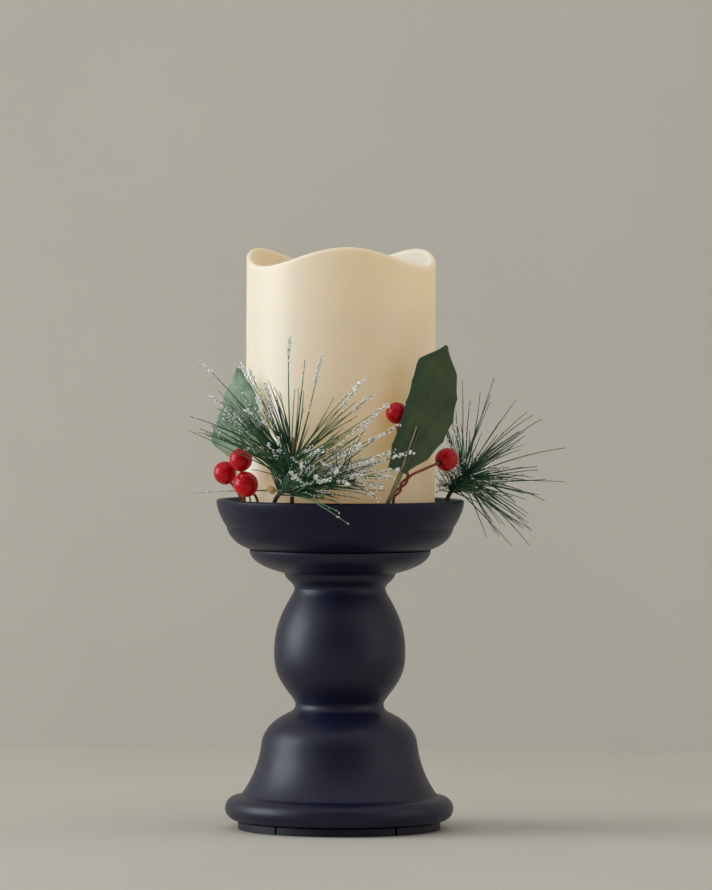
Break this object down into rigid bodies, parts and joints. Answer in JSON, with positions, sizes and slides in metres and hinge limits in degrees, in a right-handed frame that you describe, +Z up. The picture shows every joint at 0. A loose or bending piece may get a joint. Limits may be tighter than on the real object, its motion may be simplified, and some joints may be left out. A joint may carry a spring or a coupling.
{
  "type": "led candlestick",
  "caption": "Turned dark pedestal with a stepped dish that carries an ivory battery pillar candle with a wavy rim, dressed with frosted pine, leaves and red berries.",
  "frame": {"origin": "on the pedestal's axis, on the flat underside of the bottom cover that the candlestick stands on", "axes": "+Z up along the axis, -Y towards the viewer of the picture (front), +X to the viewer's right"},
  "size_m": [0.1577, 0.1402, 0.2306],
  "materials": {
    "cover_plastic": "fine matt, near black",
    "pedestal": "smooth satin, blue-black",
    "ivory": "smooth waxy ivory, slightly translucent",
    "steel": "plain zinc-plated",
    "cell_jacket": "plain printed-free jacket",
    "board": "green resist",
    "chip": "moulded black",
    "lamp": "clear warm epoxy",
    "lead_red": "insulated lead",
    "lead_black": "insulated lead",
    "pine": "cut film needles, white crystal frost at the tips",
    "leaf_dark": "dark green woven leaf",
    "leaf_pale": "pale sage woven leaf",
    "berry": "glossy red lacquer",
    "rust_wire": "red-brown wrapped wire",
    "twig": "bare cut wood",
    "wreath": "brown wrapped wire"
  },
  "bodies": {
    "candlestick": {"bottom_cover": "cover_plastic", "switch_body": "cover_plastic", "base_bell": "pedestal", "stem_bulb": "pedestal", "collar": "pedestal", "dish": "pedestal", "candle_shell": "ivory", "candle_deck": "ivory", "candle_base": "ivory", "cover_screw_1": "steel", "cover_screw_2": "steel", "cover_screw_3": "steel", "board_screw_1": "steel", "board_screw_2": "steel", "candle_screw_1": "steel", "candle_screw_2": "steel", "candle_screw_3": "steel", "bridge_contact": "steel", "positive_contact": "steel", "negative_contact": "steel", "cell_front": "cell_jacket", "cell_rear": "cell_jacket", "timer_board": "board", "led_board": "board", "timer_chip": "chip", "led_lamp": "lamp", "battery_lead_positive": "lead_red", "lamp_lead_positive": "lead_red", "battery_lead_negative": "lead_black", "lamp_lead_negative": "lead_black", "pine_sprig_upright": "pine", "pine_sprig_sweep": "pine", "pine_sprig_right": "pine", "leaf_right": "leaf_dark", "leaf_left": "leaf_pale", "berry_left_outer": "berry", "berry_left_upper": "berry", "berry_left_front": "berry", "berry_right_inner": "berry", "berry_right_outer": "berry", "berry_left_outer_wire": "rust_wire", "berry_left_upper_wire": "rust_wire", "berry_left_front_wire": "rust_wire", "berry_right_inner_wire": "rust_wire", "berry_right_outer_wire": "rust_wire", "twig_upper": "twig", "twig_lower": "twig", "wreath_wire": "wreath"},
    "switch_knob": {"switch_knob": "cover_plastic"},
    "battery_door": {"battery_door": "cover_plastic"}
  },
  "joints": [
    {"name": "switch_slide", "type": "slide", "parent": "candlestick", "child": "switch_knob", "axis": [1, 0, 0], "range_m": [-0.002, 0.002]},
    {"name": "battery_door_hinge", "type": "hinge", "parent": "candlestick", "child": "battery_door", "pos_m": [0, 0.02545, 0.0004], "axis": [1, 0, 0], "range_deg": [0, 80]}
  ]
}
